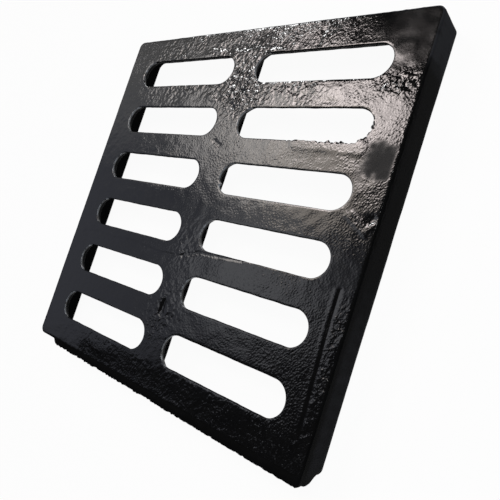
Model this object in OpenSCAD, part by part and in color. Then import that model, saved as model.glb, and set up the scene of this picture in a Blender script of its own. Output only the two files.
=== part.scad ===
// Square drain grate, sand cast in one piece and painted black.
// It lies on the seat under its skirt, with the tread face up.

/* [Casting] */
// Length of each side of the square
side = 300; // [260:10:400]
// Height from the seat up to the tread face
depth = 25; // [22:1:40]
// Thickness of the deck that the slots go through
deck_t = 6; // [5:0.5:10]
// Radius of the four corners, seen from above
corner_r = 6; // [4:1:12]
// Roundover of the tread face's outer edge
edge_r = 1.5; // [0.5:0.5:3]

/* [Slots] */
// Number of columns of slots
columns = 2; // [1:1:3]
// Number of slots in each column
rows = 6; // [4:1:6]
// Width of a slot at its narrowest
slot_w = 24.8; // [16:0.2:26]
// Solid border beyond the round ends of the slots
end_border = 24.5; // [20:0.5:30]
// Solid border beside the first and the last row
side_border = 23.4; // [20:0.2:30]
// Solid web between two columns
web_w = 24; // [18:0.5:30]
// Roundover of each slot's mouth
lip_r = 0.5; // [0.3:0.1:1.5]
// Height of the upright wall under the roundover
land_h = 1.2; // [0:0.2:2]
// Draft of the slot walls below that, which open downwards, in degrees
slot_draft = 30; // [4:1:32]

/* [Underside] */
// Thickness of the skirt where it stands on the seat
skirt_t = 9.5; // [7:0.5:12]
// Draft of the skirt's inner faces and of the rib, in degrees
skirt_draft = 4; // [2:1:6]
// Radius of the cavity's corners and of the fillet under the deck
cavity_r = 7; // [6:1:9]
// Thickness of the rib under a web, at its lower edge
rib_t = 8; // [6:1:10]
// Height of the rib below the deck
rib_h = 9.3; // [4:0.1:12]

/* [Casting faults] */
// Greatest reach of the ragged fin along the front edge
fin_w = 5.2; // [1:0.2:6]
// Thickness of the fin
fin_t = 5; // [2:1:8]
// Drop from the tread face to the top of the fin
fin_drop = 0.4; // [0.2:0.2:2]
// Number of steps along the fin's ragged edge
fin_steps = 64; // [20:4:96]
// Width of the lump where the fin turns the front right corner
lump_w = 14; // [8:1:20]
// Width of the cold shut, the crease beside the right edge
shut_w = 1.4; // [0.6:0.2:3]
// Depth of the cold shut
shut_d = 0.7; // [0.3:0.1:1.5]
// Length of the cold shut
shut_len = 90; // [40:5:120]

/* [Hidden] */
$fn = 64;

// Cutters run this far past the faces that they open
over = 1;

// Slot layout
slot_len = (side - 2 * end_border - (columns - 1) * web_w) / columns;
slot_run = slot_len - slot_w;
column_pitch = slot_len + web_w;
row_pitch = (side - 2 * side_border - slot_w) / (rows - 1);

// Underside
cavity_w = side - 2 * skirt_t;
cavity_h = depth - deck_t;
rib_z = cavity_h - rib_h;
fillet_r = cavity_r / 2;

// The fin's steps reach between these shares of its full width
fin_low = 0.72;
fin_from = 26 - side / 2;
fin_to = side / 2 - 1;
fin_ragged = rands(fin_low, 1, fin_steps, 11);
fin_reach = fin_w * max(fin_ragged);
fin_z = depth - fin_drop - fin_t;

// The lump under the fin's end steps back towards the seat
lump_steps = 3;
lump_step_h = fin_z / 4;

// The cold shut leans a little and ends near the front edge
shut_inset = 9.4;
shut_lean = 2;
shut_from = 26;

// Side view of a cast wall: a drafted face with a rounded top edge
module wall_section(r, h, top_r, draft) {
    arc = [r - (h - top_r) * tan(draft) - top_r / cos(draft), h - top_r];
    touch = arc + top_r * [cos(draft), sin(draft)];
    polygon([[0, 0], [r, 0], touch, arc, [arc.x, h], [0, h]]);
    translate(arc)
        intersection() {
            circle(top_r);
            square(top_r);
        }
}

// Section across a whole block, with such a wall at each end
module block_section(w, r, h, top_r, draft) {
    for (end = [0, 1])
        mirror([end, 0])
            translate([w / 2 - r, 0])
                wall_section(r, h, top_r, draft);
    translate([r - w / 2, 0])
        square([w - 2 * r, h]);
}

// A square block with round corners, drafted sides and a rounded top edge
module cast_block(w, r, h, top_r, draft) {
    for (turn = [0, 90, 180, 270])
        rotate([0, 0, turn])
            translate([w / 2 - r, w / 2 - r, 0])
                rotate_extrude()
                    wall_section(r, h, top_r, draft);
    for (turn = [0, 90])
        rotate([0, 0, turn])
            extrude_along_y(w - 2 * r)
                block_section(w, r, h, top_r, draft);
}

// Extrudes a side view along Y, with its own height upright
module extrude_along_y(length) {
    translate([0, length / 2, 0])
        rotate([90, 0, 0])
            linear_extrude(length)
                children();
}

// Half of a slot's section: round mouth, upright wall, then the drafted wall
module slot_section() {
    arc = [slot_w / 2 + lip_r, -lip_r];
    throat = [slot_w / 2, -lip_r - land_h];
    low = -deck_t - over;
    foot = throat.x + (throat.y - low) * tan(slot_draft);
    difference() {
        polygon([[0, over], [arc.x, over], arc, [throat.x, arc.y], throat, [foot, low], [0, low]]);
        translate(arc)
            circle(lip_r);
    }
}

// One slot, centred on the tread face: two turned ends and the run between them
module slot() {
    for (end = [-1, 1])
        translate([end * slot_run / 2, 0, 0])
            rotate_extrude()
                slot_section();
    rotate([0, 0, 90])
        extrude_along_y(slot_run)
            for (half = [0, 1])
                mirror([half, 0])
                    slot_section();
}

// Puts a slot in its column and row
module place_slot(column, row) {
    x = (column - (columns - 1) / 2) * column_pitch;
    y = (row - (rows - 1) / 2) * row_pitch;
    translate([x, y, depth])
        children();
}

// Rib under a web, from one side of the skirt to the other
module rib() {
    lean = rib_h * tan(skirt_draft);
    extrude_along_y(side - skirt_t)
        polygon([
            [-rib_t / 2, rib_z],
            [rib_t / 2, rib_z],
            [rib_t / 2 + lean, cavity_h + over],
            [-rib_t / 2 - lean, cavity_h + over]
        ]);
}

// Ragged fin of metal that ran out along the front edge of the mould
module fin() {
    step = (fin_to - fin_from) / fin_steps;
    root = corner_r - side / 2;
    translate([0, 0, fin_z])
        linear_extrude(fin_t)
            polygon([
                [fin_to, root],
                [fin_from, root],
                for (i = [0:fin_steps - 1])
                    [fin_from + (i + 0.5) * step, -side / 2 - fin_w * fin_ragged[i]],
            ]);
}

// Lump of iron at the fin's end, which makes the front right corner sharp
module corner_lump() {
    for (i = [0:lump_steps - 1]) {
        reach = fin_w * (0.85 - 0.15 * i);
        translate([side / 2, -side / 2, fin_z - (i + 1) * lump_step_h])
            linear_extrude(lump_step_h + fin_t / 2)
                polygon([
                    [-1, corner_r],
                    [-lump_w, corner_r],
                    [-lump_w, 0.2],
                    [-lump_w / 2, -reach],
                    [-lump_w / 5, -reach],
                    [-1, -reach / 3],
                ]);
    }
}

// Crease where two tongues of iron met without joining
module cold_shut() {
    translate([side / 2 - shut_inset, shut_from - side / 2, depth])
        rotate([0, 0, shut_lean])
            translate([0, shut_len / 2, 0])
                extrude_along_y(shut_len)
                    polygon([
                        [-shut_w / 2, over],
                        [-shut_w / 2, 0],
                        [0, -shut_d],
                        [shut_w / 2, 0],
                        [shut_w / 2, over],
                    ]);
}

// The whole casting, with its seat at z = 0
module grate() {
    color("#1d1f22")
        translate([0, fin_reach / 2, 0])
            difference() {
                union() {
                    difference() {
                        cast_block(side, corner_r, depth, edge_r, 0);
                        translate([0, 0, -over])
                            cast_block(cavity_w, cavity_r, cavity_h + over, fillet_r, skirt_draft);
                    }
                    for (column = [1:1:columns - 1])
                        translate([(column - columns / 2) * column_pitch, 0, 0])
                            rib();
                    fin();
                    corner_lump();
                }
                for (column = [0:columns - 1], row = [0:rows - 1])
                    place_slot(column, row)
                        slot();
                cold_shut();
            }
}

grate();
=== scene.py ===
import math

import bmesh
import bpy
import numpy as np
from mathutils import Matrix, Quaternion, Vector, kdtree, noise
from mathutils.geometry import delaunay_2d_cdt


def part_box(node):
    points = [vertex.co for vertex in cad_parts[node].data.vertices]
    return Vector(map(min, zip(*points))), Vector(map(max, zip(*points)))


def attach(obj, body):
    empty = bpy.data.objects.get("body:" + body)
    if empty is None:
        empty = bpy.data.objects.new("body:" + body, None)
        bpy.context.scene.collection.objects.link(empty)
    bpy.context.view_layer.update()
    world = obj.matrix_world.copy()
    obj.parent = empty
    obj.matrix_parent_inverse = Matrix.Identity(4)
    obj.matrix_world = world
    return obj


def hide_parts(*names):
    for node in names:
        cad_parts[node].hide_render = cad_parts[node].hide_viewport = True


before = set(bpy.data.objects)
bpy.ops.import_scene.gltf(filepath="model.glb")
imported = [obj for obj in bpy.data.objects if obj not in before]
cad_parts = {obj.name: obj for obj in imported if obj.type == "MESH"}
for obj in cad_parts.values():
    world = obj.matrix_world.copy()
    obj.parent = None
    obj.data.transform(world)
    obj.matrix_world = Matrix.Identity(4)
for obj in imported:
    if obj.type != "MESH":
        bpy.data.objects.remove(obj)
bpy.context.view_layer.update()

# The casting is drawn in millimetres about the middle of its square, then moved and scaled.
MM = 0.001
LOW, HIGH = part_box("grate")
SIDE = (HIGH.x - LOW.x) / MM
DEPTH = (HIGH.z - LOW.z) / MM
FIN_REACH = (HIGH.y - LOW.y) / MM - SIDE
HALF = SIDE / 2

# Sizes of the casting, in millimetres and degrees
DECK_T = 6.0
CORNER_R = 6.0
EDGE_R = 1.5
COLUMNS, ROWS = 2, 6
SLOT_W = 24.8
END_BORDER = 24.5
SIDE_BORDER = 23.4
WEB_W = 24.0
LIP_R = 0.5
LAND_H = 1.2
SLOT_DRAFT = 30.0
SKIRT_T = 9.5
SKIRT_DRAFT = 4.0
CAVITY_R = 7.0
RIB_T = 8.0
RIB_H = 9.3
EASE = 0.4

# Spacing of the mesh on the tread face, down the walls and on the hidden underside
FINE = 1.3
MEDIUM = 2.8
COARSE = 4.5
# Points of the lattice keep this share of its pitch away from the rims
CLEARANCE = 0.62
# Steps round the corners of the outside and of the cavity, and across the rib
OUTER_STEPS = 10
CAVITY_STEPS = 4
RIB_STEPS = 4
# Angles of the rings round the slots' mouths, the outer edge and the fillets under the deck
LIP_ANGLES = (0, 30, 60, 90)
EDGE_ANGLES = (90, 70, 62, 54, 46, 38, 30, 15, 0)
FILLET_ANGLES = (0, 25, 50, 70, 90)
# Heights of the rings down the side faces, closest together where the fin stands out
SIDE_HEIGHTS = (22.7, 21.8, 20.9, 20.1, 19.2, 17, 14, 10.5, 7, 3.5)
# The cavity's draft starts this far below the seat
DRAFT_BELOW = 1.0
# Width of the band along the outer edge that belongs to the side faces
RIM_W = 1.6

SLOT_LEN = (SIDE - 2 * END_BORDER - (COLUMNS - 1) * WEB_W) / COLUMNS
COLUMN_PITCH = SLOT_LEN + WEB_W
ROW_PITCH = (SIDE - 2 * SIDE_BORDER - SLOT_W) / (ROWS - 1)
DECK_Z = DEPTH - DECK_T
RIB_Z = DECK_Z - RIB_H
FILLET_R = CAVITY_R / 2

# Places (u, v) on the tread face are in millimetres from its front left corner. Slots are counted
# from the back, in the right column where no column is named.

# The crease where two tongues of iron met without joining
COLD_SHUT = [(287.9, 112), (288.0, 92), (290.6, 26)]

# The line that the iron left as it ran across the web
FLOW_LINE = [
    (15, 105), (40, 107), (62, 105.5), (88, 107.5), (102, 106), (125, 104.5), (150, 106.5),
]

# A low ridge stands beside each of them, at this distance. The slope between ridge and groove
# turns away from the window, so the line looks dark.
BESIDE = 1.4
CREASE_LIP = [(u - BESIDE, v) for u, v in COLD_SHUT]
FOLD = [(u, v + BESIDE) for u, v in FLOW_LINE]

# The thick run of paint that goes round the back left corner of the first slot
PAINT_RUN = [
    (142, 273.5), (155, 271.5), (161, 271.5), (166, 274), (171, 277), (176, 278.5), (186, 277.5),
]

# Rows of points along the crease and the flow line, for a denser mesh, and their spacing
CREASE_ROWS = (-1.1, -0.4, 0, 0.4, 1.1)
FLOW_ROWS = (-0.7, 0, 0.7)
DENSE = 1.1

# Ridges and grooves of the paint and the pour: path, half width, height
STREAKS = {
    "crease": (COLD_SHUT, 1.5, -0.3),
    "lip of the crease": (CREASE_LIP, 1.5, 0.25),
    "ridge to the crease": ([(262, 112), (272, 112.4), (281, 114.5)], 2.2, 0.08),
    "flow line": (FLOW_LINE, 1.5, -0.18),
    "fold over the flow line": (FOLD, 1.5, 0.18),
    "flow line on the right": ([(150, 106.5), (158, 109), (167, 112), (210, 114.5)], 0.9, -0.35),
    "bead under the second slot": ([(222, 204.5), (250, 204), (272, 203)], 4.0, 0.6),
    "paint run": (PAINT_RUN, 1.5, 0.3),
    "notch": ([(214.5, 280), (215.5, 291)], 1.4, -0.3),
    "sag of paint": ([(22.5, 264.5), (24.5, 258), (30, 252.3), (39, 248.5)], 1.0, 0.5),
    "bright scratch": ([(107, 284), (119, 280)], 1.0, 0.5),
    "second scratch": ([(120, 241), (129, 237)], 1.2, 0.8),
    "smudge": ([(143, 202), (151, 198.5)], 1.6, -0.3),
    "scar": ([(277, 159), (293, 148)], 1.0, 0.4),
    "second scar": ([(280, 161), (290.5, 153.5)], 0.9, 0.4),
    "dab": ([(292, 150.4), (297, 155.5)], 1.4, 0.5),
}

# Hollows and swells of the paint: centre, reach along each axis, height
SWELLS = {
    "pit in the web": ((148, 63.5), (2.2, 5.5), -1.1),
    "hollow over the second slot": ((238, 235), (6, 2.4), -0.2),
    "head of the run": ((140, 276), (8, 4), 1.1),
    "sheen beside the first slot": ((282, 271.5), (6, 5), 0.4),
    "dent at the edge": ((294.5, 158.5), (3, 2.5), -0.6),
    "dark patch by the first slot on the left": ((68, 287), (4, 5), -0.35),
    "dark patch by the second slot on the left": ((80, 240), (5, 5), -0.35),
    "drip at the front": ((90, 13), (16, 7), 0.8),
}

# Patches of the tread face: strength, centre, reach along each axis
LUMPY_SPOTS = [
    (1.2, (156, 250), (22, 24)),
    (0.6, (284, 247), (14, 7)),
    (0.35, (150, 62), (16, 22)),
    (0.3, (152, 112), (14, 22)),
]
GRITTY_SPOTS = [
    (0.6, (182, 106), (20, 12)),
    (0.9, (108, 189), (28, 4)),
    (0.8, (104, 159), (30, 4)),
    (0.6, (150, 50), (16, 30)),
]
SMOOTH_SPOTS = [
    (0.7, (284, 125), (22, 17)),
    (0.7, (248, 155), (30, 12)),
    (0.6, (150, 256), (18, 24)),
]


def tan(degrees):
    return math.tan(math.radians(degrees))


def cos(degrees):
    return math.cos(math.radians(degrees))


def sin(degrees):
    return math.sin(math.radians(degrees))


class Shell:
    """Points and faces of one closed mesh, gathered ring by ring."""

    def __init__(self):
        self.points = []
        self.faces = []

    def ring(self, outline, z):
        """Adds the points of an outline at one height, and returns their numbers."""
        first = len(self.points)
        self.points.extend((x, y, z) for x, y in outline)
        return list(range(first, len(self.points)))

    def stack(self, rings):
        """Joins rings of equal count with bands of four-sided faces."""
        for lower, upper in zip(rings, rings[1:]):
            for i in range(len(lower)):
                j = (i + 1) % len(lower)
                self.faces.append((lower[i], lower[j], upper[j], upper[i]))

    def fill(self, loops, pitch, extra=()):
        """Fills the flat region between an outer loop and its holes with even triangles."""
        z = self.points[loops[0][0]][2]
        known = [n for loop in loops for n in loop]
        owner = [k for k, loop in enumerate(loops) for _ in loop]
        rim = np.array([self.points[n][:2] for n in known])
        edges = []
        for loop in loops:
            first = len(edges)
            edges += [(first + i, first + (i + 1) % len(loop)) for i in range(len(loop))]
        inner = lattice(rim, edges, pitch, extra)
        flat = [Vector(p) for p in rim.tolist() + inner.tolist()]
        places, _, faces, sources, _, _ = delaunay_2d_cdt(flat, edges, [], 1, 1e-6)
        numbers, holes = [], []
        for place, source in zip(places, sources):
            old = min(source)
            if old < len(known):
                numbers.append(known[old])
                holes.append(owner[old])
            else:
                numbers.append(len(self.points))
                holes.append(0)
                self.points.append((place.x, place.y, z))
        for face in faces:
            a, b, c = (holes[i] for i in face)
            if not (a and a == b == c):
                self.faces.append(tuple(numbers[i] for i in face))


def lattice(rim, edges, pitch, extra):
    """Points of a triangular lattice inside the loops, clear of the rim and of the extra points."""
    fixed = [(x, y, 0) for x, y in rim] + [(x, y, 0) for x, y in extra]
    tree = kdtree.KDTree(len(fixed))
    for n, place in enumerate(fixed):
        tree.insert(place, n)
    tree.balance()
    kept = [tuple(p) for p in extra]
    low, high = rim.min(0), rim.max(0)
    rise = pitch * math.sqrt(3) / 2
    for row, y in enumerate(np.arange(low[1] + rise / 2, high[1], rise)):
        xs = np.arange(low[0] + (row % 2) * pitch / 2, high[0], pitch)
        inside = xs[within(rim, edges, xs, y)]
        kept += [(x, y) for x in inside if tree.find((x, y, 0))[2] > CLEARANCE * pitch]
    return np.array(kept)


def within(rim, edges, xs, y):
    """Says which of the places along one row lie inside the loops."""
    a = rim[[i for i, _ in edges]]
    b = rim[[j for _, j in edges]]
    crossed = (a[:, 1] > y) != (b[:, 1] > y)
    p, q = a[crossed], b[crossed]
    walls = np.sort(p[:, 0] + (y - p[:, 1]) * (q[:, 0] - p[:, 0]) / (q[:, 1] - p[:, 1]))
    return np.searchsorted(walls, xs) % 2 == 1


def straight(start, end, steps):
    """Points along a line, without the last one."""
    t = np.arange(steps)[:, None] / max(steps, 1)
    return np.array(start) * (1 - t) + np.array(end) * t


def quarter(x, y, r, start, steps):
    """Points of a quarter circle, without the last one."""
    a = np.radians(start + 90 * np.arange(steps) / steps)
    return np.c_[x + r * np.cos(a), y + r * np.sin(a)]


def rounded_box(half_x, half_y, r, steps_x, steps_y, steps_r):
    """Outline of a box with round corners, anticlockwise from the start of its lower side."""
    x, y = half_x - r, half_y - r
    return np.concatenate([
        straight((-x, -half_y), (x, -half_y), steps_x),
        quarter(x, -y, r, -90, steps_r),
        straight((half_x, -y), (half_x, y), steps_y),
        quarter(x, y, r, 0, steps_r),
        straight((x, half_y), (-x, half_y), steps_x),
        quarter(-x, y, r, 90, steps_r),
        straight((-half_x, y), (-half_x, -y), steps_y),
        quarter(-x, -y, r, 180, steps_r),
    ])


def slot_rings(shell, x, y):
    """One slot: a rounded mouth, an upright wall, then a drafted wall down to an eased lower edge."""
    run = (SLOT_LEN - SLOT_W) / 2
    steps_x = round(2 * run / FINE)
    steps_r = round(math.pi * (SLOT_W / 2 + LIP_R) / 2 / FINE)
    profile = [(LIP_R * (1 - sin(a)), -LIP_R * (1 - cos(a))) for a in LIP_ANGLES]
    throat_z = -LIP_R - LAND_H
    for z in (throat_z, throat_z - EASE, (throat_z - DECK_T) / 2, EASE - DECK_T):
        profile.append(((throat_z - z) * tan(SLOT_DRAFT), z))
    foot_out, _ = profile[-1]
    profile.append((foot_out + EASE, -DECK_T))
    rings = []
    for out, z in profile:
        r = SLOT_W / 2 + out
        outline = rounded_box(run + r, r, r, steps_x, 0, steps_r) + (x, y)
        rings.append(shell.ring(outline, DEPTH + z))
    shell.stack(rings)
    return rings[0], rings[-1]


def outer_rings(shell):
    """The outside: a rounded edge round the tread face, then the side faces down to the seat."""
    steps = round((SIDE - 2 * CORNER_R) / FINE)
    profile = [(EDGE_R * (1 - cos(a)), DEPTH - EDGE_R * (1 - sin(a))) for a in EDGE_ANGLES]
    profile += [(0, z) for z in SIDE_HEIGHTS]
    profile += [(0, EASE), (EASE, 0)]
    rings = []
    for inset, z in profile:
        half = HALF - inset
        outline = rounded_box(half, half, CORNER_R - inset, steps, steps, OUTER_STEPS)
        rings.append(shell.ring(outline, z))
    shell.stack(rings)
    return rings[0], rings[-1]


def cavity_half(z):
    """Half width of the cavity and the radius of its corners, at one height."""
    fillet_z = DECK_Z - FILLET_R
    lean = (min(z, fillet_z) + DRAFT_BELOW) * tan(SKIRT_DRAFT)
    if z > fillet_z:
        lean += FILLET_R - math.sqrt(max(0, FILLET_R**2 - (z - fillet_z) ** 2))
    return HALF - SKIRT_T - lean, CAVITY_R - lean


def pocket_outline(z, turn):
    """One half of the cavity beside the rib: the skirt's side first, then the rib's side."""
    half, r = cavity_half(z)
    rib = RIB_T / 2 + max(0, z - RIB_Z) * tan(SKIRT_DRAFT)
    steps_x = round((HALF - CAVITY_R) / MEDIUM)
    steps_y = round((SIDE - 2 * CAVITY_R) / MEDIUM)
    skirt = np.concatenate([
        straight((rib, -half), (half - r, -half), steps_x),
        quarter(half - r, r - half, r, -90, CAVITY_STEPS),
        straight((half, r - half), (half, half - r), steps_y),
        quarter(half - r, half - r, r, 0, CAVITY_STEPS),
        straight((half - r, half), (rib, half), steps_x),
        [(rib, half)],
    ])
    side = straight((rib, half), (rib, -half), steps_y)[1:]
    return skirt * turn, side * turn


def rib_end(half):
    """The few points between the two halves of the cavity, at one end of the rib."""
    return straight((RIB_T / 2, half), (-RIB_T / 2, half), RIB_STEPS)[1:]


def cavity(shell):
    """The hollow under the deck, with the rib standing down into it."""
    arc_z = [DECK_Z - FILLET_R * (1 - sin(a)) for a in FILLET_ANGLES]
    decks, skirts, sides, ends = {}, {}, {}, {}
    for turn in (1, -1):
        rings = []
        for z in (RIB_Z, (RIB_Z + arc_z[0]) / 2, *arc_z):
            skirt, side = pocket_outline(z, turn)
            rings.append((shell.ring(skirt, z), shell.ring(side, z)))
        shell.stack([skirt + side for skirt, side in rings])
        skirts[turn], sides[turn] = rings[0]
        decks[turn] = sum(rings[-1], [])
        ends[turn] = shell.ring(rib_end(cavity_half(RIB_Z)[0]) * turn, RIB_Z)
    rib_edge = []
    for turn in (1, -1):
        rib_edge += [skirts[turn][-1]] + ends[turn] + [skirts[-turn][0]] + sides[-turn][::-1]
    shell.fill([rib_edge], MEDIUM)
    rings = []
    for z in (EASE, RIB_Z / 3, 2 * RIB_Z / 3):
        end = rib_end(cavity_half(z)[0])
        whole = [pocket_outline(z, 1)[0], end, pocket_outline(z, -1)[0], -end]
        rings.append(shell.ring(np.concatenate(whole), z))
    rings.append(skirts[1] + ends[1] + skirts[-1] + ends[-1])
    mouth = np.array([shell.points[n][:2] for n in rings[0]]) * (1 + EASE / cavity_half(EASE)[0])
    rings.insert(0, shell.ring(mouth, 0))
    shell.stack(rings)
    return rings[0], decks


def beside(path, offsets, pitch):
    """Rows of points that run along a path, for a mesh that is denser there."""
    rows = []
    path = np.array(path) - HALF
    for a, b in zip(path, path[1:]):
        length = np.linalg.norm(b - a)
        across = np.array([a[1] - b[1], b[0] - a[0]]) / length
        for offset in offsets:
            rows += (straight(a, b, max(1, round(length / pitch))) + across * offset).tolist()
    return rows


def casting_shell():
    """The whole casting as one closed shell, before its surface is roughened."""
    shell = Shell()
    mouths, feet = [], {1: [], -1: []}
    for column in range(COLUMNS):
        for row in range(ROWS):
            x = (column - (COLUMNS - 1) / 2) * COLUMN_PITCH
            y = (row - (ROWS - 1) / 2) * ROW_PITCH
            mouth, foot = slot_rings(shell, x, y)
            mouths.append(mouth)
            feet[1 if x > 0 else -1].append(foot)
    tread_edge, seat_edge = outer_rings(shell)
    seat_mouth, decks = cavity(shell)
    denser = beside(COLD_SHUT, CREASE_ROWS, DENSE) + beside(FLOW_LINE, FLOW_ROWS, DENSE)
    shell.fill([tread_edge] + mouths, FINE, denser)
    shell.fill([seat_edge, seat_mouth], COARSE)
    for turn, deck in decks.items():
        shell.fill([deck] + feet[turn], COARSE)
    return shell


# Each seed moves the noise by this much, and the gain spreads it from -1 to 1
SEED_SHIFT = Vector((17.3, 5.9, 9.1))
NOISE_GAIN = 1.6


def smooth(value, low, high):
    """Rises softly from 0 at low to 1 at high."""
    t = np.clip((value - low) / (high - low), 0, 1)
    return t * t * (3 - 2 * t)


def roll(points, size, seed):
    """Smooth noise of about -1 to 1, with features of one size in millimetres."""
    shift = SEED_SHIFT * seed
    return NOISE_GAIN * np.array([noise.noise(Vector(p) / size + shift) for p in points])


def places(points):
    """Place u and v of each point over the tread face, and its height z."""
    return points[:, 0] + HALF, points[:, 1] + HALF, points[:, 2]


def spot(u, v, centre, reach):
    """A soft round or oval patch of the tread face, 1 in its middle."""
    return np.exp(-(((u - centre[0]) / reach[0]) ** 2 + ((v - centre[1]) / reach[1]) ** 2))


def along(u, v, path, width):
    """1 on a path over the tread face, falling softly to 0 beside it."""
    nearest = np.full(len(u), 1e6)
    for (u0, v0), (u1, v1) in zip(path, path[1:]):
        du, dv = u1 - u0, v1 - v0
        t = np.clip(((u - u0) * du + (v - v0) * dv) / (du * du + dv * dv), 0, 1)
        nearest = np.minimum(nearest, (u - u0 - t * du) ** 2 + (v - v0 - t * dv) ** 2)
    return np.exp(-nearest / width**2)


def patchy(u, v, size, seed):
    """Uneven cover, 0 to about 1.5, in patches of one size."""
    return np.clip(0.85 + 0.7 * roll(np.c_[u, v, 0 * u], size, seed), 0, 1.5)


def lumpy_share(u, v):
    """Where the paint lies in lumps: at the back, on the web, and faintly at the front and sides."""
    share = 0.4 * smooth(v, 222, 255) * smooth(u, 10, 60) * smooth(-u, -255, -210)
    share *= patchy(u, v, 16, 15) * (1 - 0.6 * smooth(v, 268, 282) * smooth(u, 100, 140))
    for strength, centre, reach in LUMPY_SPOTS:
        share = np.maximum(share, strength * spot(u, v, centre, reach))
    share = np.maximum(share, 0.25 * smooth(-v, -26, -18) * smooth(u, 50, 80) * patchy(u, v, 9, 18))
    share = np.maximum(share, 0.25 * smooth(u, 289, 292) * smooth(-v, -115, -100))
    share = np.maximum(share, 0.08 * smooth(-u, -130, -60) * patchy(u, v, 14, 21))
    return np.clip(share, 0, 1)


def gritty_share(u, v):
    """Where the sand's grain shows through the paint: most at the back, the right and the front."""
    share = 0.12 + 0.12 * smooth(u, 20, 60) + 0.08 * smooth(u, 130, 200) + 0.1 * smooth(u, 250, 290)
    share += 0.3 * smooth(u, 200, 290) * smooth(-v, -120, -60)
    share = np.maximum(share, 0.45 * smooth(v, 215, 262))
    share = np.maximum(share, 0.4 * smooth(v, 150, 185) * smooth(u, 60, 100) * smooth(-u, -190, -170))
    share = np.maximum(share, 0.8 * smooth(-v, -30, -12) * smooth(u, 60, 80))
    for strength, centre, reach in GRITTY_SPOTS:
        share = np.maximum(share, strength * spot(u, v, centre, reach))
    share *= 0.5 + 0.6 * patchy(u, v, 20, 16)

    # Smoother paint: the back right corner, patches, the crease and the dull places
    share *= 1 - 0.8 * smooth(u, 245, 268) * smooth(v, 250, 264)
    for strength, centre, reach in SMOOTH_SPOTS:
        share *= 1 - strength * spot(u, v, centre, reach)
    share *= 1 - 0.8 * along(u, v, COLD_SHUT, 1.5)
    share *= 1 - dull_share(u, v)
    return np.clip(share, 0, 1)


def dull_share(u, v):
    """Where the paint dried dull: a smooth patch beside the second slot, and the back right corner."""
    ragged = 3 * roll(np.c_[u, v, 0 * u], 4, 17)
    patch = smooth(u + ragged, 273, 284) * smooth(-u, -298, -295)
    patch *= smooth(v + ragged, 181, 189) * smooth(ragged - v, -212, -202)
    corner = smooth(u, 262, 280) * smooth(v, 255, 272)
    return np.maximum(patch, 0.2 * corner)


def tread_relief(points, u, v):
    """Height of paint lumps, runs and faults of the pour on the tread face, in millimetres."""
    lumpy = lumpy_share(u, v)
    height = 0.10 * roll(points, 38, 1) + 0.05 * roll(points, 14, 2)
    height += (0.04 + 0.16 * lumpy) * roll(points, 6.5, 3)
    height += 0.12 * lumpy * roll(points, 3.4, 4)
    for path, width, rise in STREAKS.values():
        height += rise * along(u, v, path, width)
    for centre, reach, rise in SWELLS.values():
        height += rise * spot(u, v, centre, reach)

    # The tread face droops towards the front edge
    height -= 0.9 * smooth(-v, -22, -2) * smooth(u, 62, 74)
    return height


def torn_share(u, v):
    """Where the paint hangs ragged over the lip of the second slot."""
    return np.clip(spot(u, v, (255, 205), (26, 5)) + spot(u, v, (276, 213), (7, 9)), 0, 1)


def beyond_rim(points):
    """Says which points lie on the outside of the casting, and not on its tread face or underside."""
    past = np.maximum(abs(points[:, :2]) - HALF + CORNER_R, 0)
    return np.hypot(past[:, 0], past[:, 1]) > CORNER_R - RIM_W


def fin_push(points, normals, outside):
    """How far the front face moves out: a ragged fin below the tread, and a lump at its right end."""
    u, v, z = places(points)

    # The underside of the fin starts here, and under the lump it slopes almost to the seat
    corner = smooth(u, 288, 296)
    foot = 18.8 - 15.8 * corner
    share = smooth(u, 24, 30) * smooth(z, foot, foot + 1.5 + 8.5 * corner)
    share *= smooth(-z, 0.07 - DEPTH, 0.65 - DEPTH) * smooth(CORNER_R - v, 0, 2.5)
    share *= outside & (normals[:, 1] < -0.2)

    # The fin grows towards the right, and its edge is ragged at two scales
    reach = 0.78 + 0.20 * smooth(u, 30, 280) - 0.3 * smooth(u, 296, 300)
    reach += 0.10 * roll(points * (1, 1, 0.5), 2.2, 10) + 0.08 * roll(points, 1.3, 11)
    return share * (FIN_REACH * np.clip(reach, 0.3, 1) + v)


# The tread face lies this much lower than the solid's, so that its lumps stay inside the box
SINK = 0.22


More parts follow.
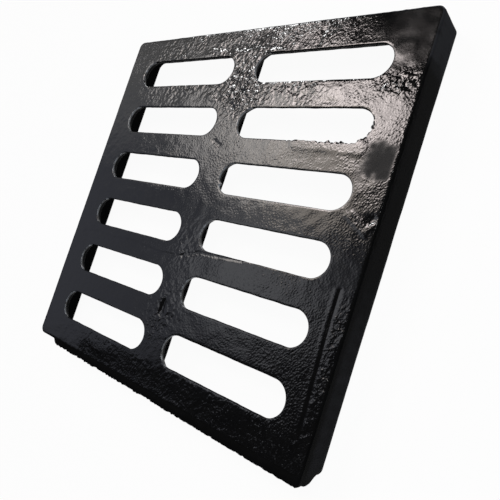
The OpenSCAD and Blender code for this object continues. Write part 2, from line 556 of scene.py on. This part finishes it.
def roughen(points, normals):
    """Moves the points of the plain casting to the uneven surface of the real one."""
    u, v, z = places(points)
    tread = smooth(z, DEPTH - 1.0, DEPTH - 0.2) * (normals[:, 2] > 0)
    outside = beyond_rim(points)

    # Side faces, walls of the slots and the hollow, and the more ragged back face
    side_height = 0.10 * roll(points, 24, 5) + 0.05 * roll(points, 7, 6) - 0.08
    wall_height = 0.12 * roll(points, 9, 7) + 0.07 * roll(points, 3.5, 8)
    back_height = 0.22 * roll(points, 3.0, 13) + 0.15 * roll(points, 9, 14) - 0.25
    side_height += (normals[:, 1] > 0.5) * back_height
    height = np.where(outside, side_height, wall_height)
    height = (1 - tread) * height + tread * (tread_relief(points, u, v) - SINK)
    moved = points + normals * height[:, None]

    # Chipped edge on the right, ragged end of the second slot, burr at the third
    rag = roll(points, 2.4, 9)
    chip = smooth(u, 297.5, 299) * smooth(v, 120, 160) * smooth(-v, -262, -230) * smooth(z, 20, 24)
    moved[:, 0] -= chip * (0.3 + 0.4 * rag)
    in_slot = (z > DEPTH - 3) & (z < DEPTH - 0.05) & ~outside
    moved += normals * (2.0 * torn_share(u, v) * in_slot * (0.1 + rag))[:, None]
    moved[:, 0] += 3.2 * spot(u, v, (163.5, 168), (1.6, 1.6)) * in_slot

    # The fin, with a flat top just under the tread face
    push = fin_push(points, normals, outside)
    shelf = smooth(push, 0.2, 1.5) * smooth(z, DEPTH - 0.7, DEPTH - 0.5)
    shelf_z = DEPTH - 0.5 + 0.16 * roll(points, 3.0, 12)
    moved[:, 1] -= push
    moved[:, 2] += shelf * (shelf_z - moved[:, 2])

    # Nothing passes the box of the solids, and the seat stays flat
    moved[:, 0] = np.clip(moved[:, 0], -HALF, HALF)
    moved[:, 1] = np.clip(moved[:, 1], -HALF - FIN_REACH, HALF)
    moved[:, 2] = np.where(z < 0.01, 0, np.clip(moved[:, 2], 0, DEPTH))
    return moved


# A point this far under the plain tread face is no longer on it
UNDER_TREAD = 0.02
# Edges sharper than this, in degrees, are not shaded smooth
SHARP_ANGLE = 50


def add_share(mesh, name, values):
    """Keeps a number for each point, which the material reads by name."""
    share = mesh.attributes.new(name, "FLOAT", "POINT")
    share.data.foreach_set("value", values.astype(np.float32))


def add_shares(mesh, points, normals):
    """Where the paint changes: lumps, grit and dull places, rims painted grey as worn paint and painted
    highlight, and side faces painted paler as a painted reflection.
    """
    u, v, z = places(points)
    outside = beyond_rim(points)
    tread = smooth(z, DEPTH - 3, DEPTH - 1) * (normals[:, 2] > 0)
    add_share(mesh, "lumpy", lumpy_share(u, v) * tread)
    add_share(mesh, "gritty", gritty_share(u, v) * tread + 0.5 * (1 - tread))
    add_share(mesh, "dull", dull_share(u, v) * tread)

    # The rims at the slots' left ends, where they face right, are painted grey: partly paint worn off,
    # partly a painted highlight
    rim = (normals[:, 0] > 0.15) & (z > DEPTH - 0.6) & (z < DEPTH - UNDER_TREAD)
    rim_highlight_and_wear = np.clip(0.5 + 0.8 * roll(points, 3.0, 19), 0, 1) * smooth(-u, -200, -170)
    add_share(mesh, "rim_highlight_and_wear", rim_highlight_and_wear * (rim & ~outside))

    # Painted reflection: the side faces are painted paler low down towards the front, and at the back end
    painted_side_sheen = 0.1 + 0.9 * smooth(-v, -150, -60) * smooth(-z, -21, -15) + 2.2 * smooth(v, 256, 271)
    painted_side_sheen = np.where(normals[:, 1] < -0.3, 0.1, painted_side_sheen)
    add_share(mesh, "painted_side_sheen", np.where(outside, painted_side_sheen, 0.5))


def thin_faces(shell, points, normals):
    """1 for each face with thin paint: side faces, walls, underside. 0 for the tread and the fin."""
    u, v, z = places(points)
    outside = beyond_rim(points)
    plain = outside & ((normals[:, 1] > -0.2) | (u > 290))
    glossy_lip = (normals[:, 0] > 0.15) | (torn_share(u, v) > 0.2)
    lip_foot = DEPTH - LIP_R - LAND_H - 0.01
    low = z < np.where(glossy_lip, lip_foot, DEPTH - UNDER_TREAD)
    thin = plain | low
    wall = low & ~outside
    indices = [int(thin[list(face)].all() or wall[list(face)].any()) for face in shell.faces]
    return np.array(indices, dtype=np.int32)


def make_casting():
    """The casting as a mesh in metres, in the frame's own place."""
    shell = casting_shell()
    mesh = bpy.data.meshes.new("casting")
    mesh.from_pydata(shell.points, [], shell.faces)
    bm = bmesh.new()
    bm.from_mesh(mesh)
    bmesh.ops.recalc_face_normals(bm, faces=bm.faces)
    bm.to_mesh(mesh)
    bm.free()
    points = np.array(shell.points)
    normals = np.empty(len(points) * 3, dtype=np.float32)
    mesh.vertices.foreach_get("normal", normals)
    normals = normals.reshape(-1, 3)
    moved = roughen(points, normals) + (0, FIN_REACH / 2, 0)
    mesh.vertices.foreach_set("co", (moved * MM).astype(np.float32).ravel())
    add_shares(mesh, points, normals)
    mesh.shade_smooth()
    mesh.set_sharp_from_angle(angle=math.radians(SHARP_ANGLE))
    mesh.materials.append(painted_iron())
    mesh.materials.append(thin_paint())
    mesh.polygons.foreach_set("material_index", thin_faces(shell, points, normals))
    casting = bpy.data.objects.new("casting", mesh)
    bpy.context.scene.collection.objects.link(casting)
    return casting


def linear(hex_colour):
    """Linear colour with full alpha, from an sRGB hex value."""
    parts = [int(hex_colour[i:i + 2], 16) / 255 for i in (1, 3, 5)]
    return [p / 12.92 if p <= 0.04045 else ((p + 0.055) / 1.055) ** 2.4 for p in parts] + [1.0]


def add_node(tree, kind, inputs, **settings):
    """Adds a node with its settings. Each input, by name or number, is a value or another socket."""
    node = tree.nodes.new(kind)
    for name, value in settings.items():
        setattr(node, name, value)
    for key, value in inputs.items():
        if isinstance(value, bpy.types.NodeSocket):
            tree.links.new(value, node.inputs[key])
        else:
            node.inputs[key].default_value = value
    return node


# Sizes and heights of the glossy paint's relief, and the size of its slow changes, in millimetres
SAND_SIZE, SAND_RISE = 1.25, 0.25
BLISTER_SIZE, BLISTER_RISE = 2.1, 0.10
FACET_SIZE, FACET_RISE = 3.0, 1.3
SCALE_SIZE, SCALE_RISE = 4.0, 0.8
SWELL_SIZE = 12.0
# Sizes of the thin paint's runs and grain, and the grain's height
RUN_SIZE = 6.0
GRAIN_SIZE, GRAIN_RISE = 1.5, 0.08


def new_material(name):
    """An empty material, and its tree of nodes."""
    material = bpy.data.materials.new(name)
    material.use_nodes = True
    material.node_tree.nodes.clear()
    return material, material.node_tree


def painted_iron():
    """Bitumen paint over sand-cast iron: deep black, glossy, with the mould's grain under it."""
    material, tree = new_material("bitumen_paint_on_sand_cast_iron")
    place = add_node(tree, "ShaderNodeTexCoord", {}).outputs["Object"]
    lumpy, gritty, dull, rim_highlight_and_wear = (
        add_node(tree, "ShaderNodeAttribute", {}, attribute_name=name).outputs["Fac"]
        for name in ("lumpy", "gritty", "dull", "rim_highlight_and_wear")
    )

    # Sand grains under the paint, a little drawn out
    brushed = add_node(tree, "ShaderNodeMapping", {
        "Vector": place, "Rotation": (0, 0, math.radians(50)), "Scale": (1.3, 1, 1),
    }, vector_type="TEXTURE")
    sand = add_node(tree, "ShaderNodeTexNoise", {
        "Vector": brushed.outputs[0], "Scale": 1 / (SAND_SIZE * MM), "Detail": 1.5,
    })

    # Blisters of paint over the larger grains
    cell = add_node(tree, "ShaderNodeTexVoronoi", {"Vector": place, "Scale": 1 / (BLISTER_SIZE * MM)})
    blisters = add_node(tree, "ShaderNodeMapRange", {
        "Value": cell.outputs["Distance"], "From Min": 0.55, "From Max": 0.0,
    }, interpolation_type="SMOOTHSTEP")

    # Facets where the paint dried in lumps, and drawn-out scales of paint
    facets = add_node(tree, "ShaderNodeTexNoise", {
        "Vector": place, "Scale": 1 / (FACET_SIZE * MM), "Detail": 0.6,
    })
    drawn = add_node(tree, "ShaderNodeMapping", {
        "Vector": place, "Rotation": (0, 0, math.radians(60)), "Scale": (3.2, 1, 1),
    }, vector_type="TEXTURE")
    scales = add_node(tree, "ShaderNodeTexNoise", {
        "Vector": drawn.outputs[0], "Scale": 1 / (SCALE_SIZE * MM), "Detail": 1.0,
    })

    # Each relief stands on the one before it
    surface = {}
    for share, rise, relief in (
        (gritty, SAND_RISE, sand),
        (gritty, BLISTER_RISE, blisters),
        (lumpy, FACET_RISE, facets),
        (lumpy, SCALE_RISE, scales),
    ):
        bump = add_node(tree, "ShaderNodeBump", {
            "Strength": share, "Distance": rise * MM, "Height": relief.outputs[0], **surface,
        })
        surface = {"Normal": bump.outputs[0]}

    # The paint's gloss and tone change slowly over the face, and the rims painted grey show worn iron and
    # a painted highlight
    swell = add_node(tree, "ShaderNodeTexNoise", {
        "Vector": place, "Scale": 1 / (SWELL_SIZE * MM), "Detail": 3.0,
    }).outputs[0]
    gloss = add_node(tree, "ShaderNodeMapRange", {
        "Value": swell, "From Min": 0.3, "From Max": 0.7, "To Min": 0.07, "To Max": 0.13,
    })
    gloss = add_node(tree, "ShaderNodeMath", {
        0: dull, 1: 0.4, 2: gloss.outputs[0],
    }, operation="MULTIPLY_ADD")
    shine = add_node(tree, "ShaderNodeMath", {0: dull, 1: -0.29, 2: 0.5}, operation="MULTIPLY_ADD")
    tone = add_node(tree, "ShaderNodeMix", {
        0: swell, 6: linear("#0a0a0b"), 7: linear("#101010"),
    }, data_type="RGBA")
    tone = add_node(tree, "ShaderNodeMix", {
        0: rim_highlight_and_wear, 6: tone.outputs[2], 7: linear("#9aa0a6"),
    }, data_type="RGBA")
    paint = add_node(tree, "ShaderNodeBsdfPrincipled", {
        "Base Color": tone.outputs[2],
        "Specular IOR Level": shine.outputs[0],
        "Roughness": gloss.outputs[0],
        **surface,
    })
    add_node(tree, "ShaderNodeOutputMaterial", {"Surface": paint.outputs[0]})
    return material


def thin_paint():
    """Thin bitumen paint on the side faces and walls: it dried dull, with faint runs down the face. Its
    paler tone on the side faces is a painted reflection.
    """
    material, tree = new_material("thin_bitumen_paint")
    place = add_node(tree, "ShaderNodeTexCoord", {}).outputs["Object"]
    runs = add_node(tree, "ShaderNodeMapping", {"Vector": place, "Scale": (1, 1, 0.35)})
    streaks = add_node(tree, "ShaderNodeTexNoise", {
        "Vector": runs.outputs[0], "Scale": 1 / (RUN_SIZE * MM), "Detail": 3.0,
    })
    grain = add_node(tree, "ShaderNodeTexNoise", {
        "Vector": place, "Scale": 1 / (GRAIN_SIZE * MM), "Detail": 2.0,
    })
    grained = add_node(tree, "ShaderNodeBump", {
        "Strength": 0.5, "Distance": GRAIN_RISE * MM, "Height": grain.outputs[0],
    })
    # Painted reflection: a paler tone on the marked side faces, broken into runs
    painted_side_sheen = add_node(tree, "ShaderNodeAttribute", {}, attribute_name="painted_side_sheen").outputs["Fac"]
    share = add_node(tree, "ShaderNodeMath", {0: painted_side_sheen, 1: streaks.outputs[0]}, operation="MULTIPLY")
    tone = add_node(tree, "ShaderNodeMix", {
        0: share.outputs[0], 6: linear("#060606"), 7: linear("#28292c"),
    }, data_type="RGBA")
    paint = add_node(tree, "ShaderNodeBsdfPrincipled", {
        "Base Color": tone.outputs[2],
        "Roughness": 0.7,
        "Specular IOR Level": 0.02,
        "Normal": grained.outputs[0],
    })
    add_node(tree, "ShaderNodeOutputMaterial", {"Surface": paint.outputs[0]})
    return material


# Half width of the floor in metres, and the share of it that is plain white where it is seen
FLOOR_HALF = 3
PLAIN_WHITE = 0.95


def pale_floor():
    """Matt white board: it keeps the object's shadow, and is white where it is seen."""
    material, tree = new_material("matt_white_board")
    path = add_node(tree, "ShaderNodeLightPath", {})
    seen = add_node(tree, "ShaderNodeMath", {
        0: path.outputs["Is Camera Ray"], 1: path.outputs["Is Glossy Ray"],
    }, operation="MAXIMUM")
    seen = add_node(tree, "ShaderNodeMath", {
        0: seen.outputs[0], 1: path.outputs["Is Transmission Ray"],
    }, operation="MAXIMUM")
    share = add_node(tree, "ShaderNodeMath", {0: seen.outputs[0], 1: PLAIN_WHITE}, operation="MULTIPLY")
    board = add_node(tree, "ShaderNodeBsdfDiffuse", {"Color": linear("#e6e6e6")})
    glow = add_node(tree, "ShaderNodeEmission", {"Color": (1, 1, 1, 1), "Strength": 1.0})
    mix = add_node(tree, "ShaderNodeMixShader", {
        0: share.outputs[0], 1: board.outputs[0], 2: glow.outputs[0],
    })
    add_node(tree, "ShaderNodeOutputMaterial", {"Surface": mix.outputs[0]})
    return material


# Glows of the room: direction, half angle of the full glow and of its end, colour, strength.
# The photo's glare comes from the window and what stands round it; the far wall is there for
# other views.
GLOWS = {
    "window": ((-0.455, 0.377, 0.806), 3, 6, "#fff3f0", 11.5),
    "second pane": ((-0.535, 0.395, 0.748), 3, 5, "#fff3f0", 10.0),
    "low pane": ((-0.55, 0.275, 0.79), 5.5, 6.6, "#fff2e4", 3.6),
    "curtain": ((-0.648, 0.300, 0.70), 4, 8, "#fffaf6", 4.2),
    "side window": ((-0.60, 0.05, 0.80), 2, 10, "#fbfcff", 1.1),
    "wall": ((-0.73, 0.02, 0.68), 2, 30, "#e6ebff", 0.48),
    "upper wall": ((-0.78, 0.44, 0.44), 5, 19, "#fffdf8", 0.5),
    "lamp": ((-0.62, 0.60, 0.50), 2.5, 5.5, "#ffffff", 33.0),
    "far wall": ((0.36, -0.80, 0.42), 15, 60, "#eef2ff", 7.0),
}
# Towards the bright side of the room. A glow is full where a direction reaches the second of these
# distances along it, and keeps only the share DIM where it does not reach the first.
BRIGHT_SIDE = (-0.54, 1, 0)
BRIGHT_FROM, BRIGHT_TO = 0.15, 0.28
DIM = 0.08

# The lamp above: direction, distance and size in metres, power in watts
SOFTBOX_TOWARDS = Vector((0.25, 0.30, 0.92)).normalized()
SOFTBOX_DISTANCE = 1.6
SOFTBOX_SIZE = 1.0
SOFTBOX_POWER = 12.0


def soft_world():
    """A dim room: a bright window and walls at the back left, dark towards the front and the right."""
    world = bpy.data.worlds.new("room")
    bpy.context.scene.world = world
    world.use_nodes = True
    tree = world.node_tree
    tree.nodes.clear()
    way = add_node(tree, "ShaderNodeTexCoord", {}).outputs["Generated"]
    total = (0, 0, 0)
    for name, (towards, inner, outer, tint, strength) in GLOWS.items():
        dot = add_node(tree, "ShaderNodeVectorMath", {
            0: way, 1: Vector(towards).normalized(),
        }, operation="DOT_PRODUCT", label=name)
        fall = add_node(tree, "ShaderNodeMapRange", {
            "Value": dot.outputs["Value"],
            "From Min": cos(outer),
            "From Max": cos(inner),
            "To Max": strength,
        }, interpolation_type="SMOOTHSTEP")
        total = add_node(tree, "ShaderNodeVectorMath", {
            0: linear(tint)[:3], 1: fall.outputs[0], 2: total,
        }, operation="MULTIPLY_ADD").outputs[0]
    reach = add_node(tree, "ShaderNodeVectorMath", {0: way, 1: BRIGHT_SIDE}, operation="DOT_PRODUCT")
    bright = add_node(tree, "ShaderNodeMapRange", {
        "Value": reach.outputs["Value"],
        "From Min": BRIGHT_FROM,
        "From Max": BRIGHT_TO,
        "To Min": DIM,
        "To Max": 1.0,
    }, interpolation_type="SMOOTHSTEP")
    shaded = add_node(tree, "ShaderNodeVectorMath", {0: total, 1: bright.outputs[0]}, operation="MULTIPLY")
    lit = add_node(tree, "ShaderNodeBackground", {"Color": shaded.outputs[0]})
    white = add_node(tree, "ShaderNodeBackground", {"Color": (1, 1, 1, 1)})
    path = add_node(tree, "ShaderNodeLightPath", {})
    mix = add_node(tree, "ShaderNodeMixShader", {
        0: path.outputs["Is Camera Ray"], 1: lit.outputs[0], 2: white.outputs[0],
    })
    add_node(tree, "ShaderNodeOutputWorld", {"Surface": mix.outputs[0]})


def add_softbox():
    """A wide soft lamp above the grate."""
    data = bpy.data.lights.new("softbox", "AREA")
    data.shape = "DISK"
    data.size = SOFTBOX_SIZE
    data.energy = SOFTBOX_POWER
    lamp = bpy.data.objects.new("softbox", data)
    bpy.context.scene.collection.objects.link(lamp)
    lamp.location = SOFTBOX_TOWARDS * SOFTBOX_DISTANCE
    lamp.rotation_mode = "QUATERNION"
    lamp.rotation_quaternion = SOFTBOX_TOWARDS.to_track_quat("Z", "Y")


# The photograph's camera, solved from the outlines of the slots: places in metres, turn in degrees
CAMERA_AT = Vector((0.2864, -0.0588, 0.3075))
CAMERA_AIM = Vector((0.0356, -0.0340, 0.0250))
CAMERA_ROLL = -67.48
LENS = 37.11
SHIFT = (0.0656, 0.0115)


def add_camera():
    """The photograph's view: from the right-hand side, with the camera turned on its side."""
    data = bpy.data.cameras.new("camera")
    data.lens = LENS
    data.shift_x, data.shift_y = SHIFT
    data.clip_start = 0.01
    camera = bpy.data.objects.new("camera", data)
    bpy.context.scene.collection.objects.link(camera)
    camera.location = CAMERA_AT
    camera.rotation_mode = "QUATERNION"
    turn = Quaternion((0, 0, 1), math.radians(CAMERA_ROLL))
    camera.rotation_quaternion = (CAMERA_AIM - CAMERA_AT).to_track_quat("-Z", "Y") @ turn
    bpy.context.scene.camera = camera


def add_floor():
    """A board at the level of the seat, much wider than the view."""
    mesh = bpy.data.meshes.new("floor")
    corners = [(x * FLOOR_HALF, y * FLOOR_HALF, 0) for x, y in ((-1, -1), (1, -1), (1, 1), (-1, 1))]
    mesh.from_pydata(corners, [], [(0, 1, 2, 3)])
    floor = bpy.data.objects.new("floor", mesh)
    bpy.context.scene.collection.objects.link(floor)
    mesh.materials.append(pale_floor())


casting = make_casting()
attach(casting, "root")
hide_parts("grate")
add_floor()
soft_world()
add_softbox()
add_camera()
bpy.context.scene.view_settings.view_transform = "Standard"
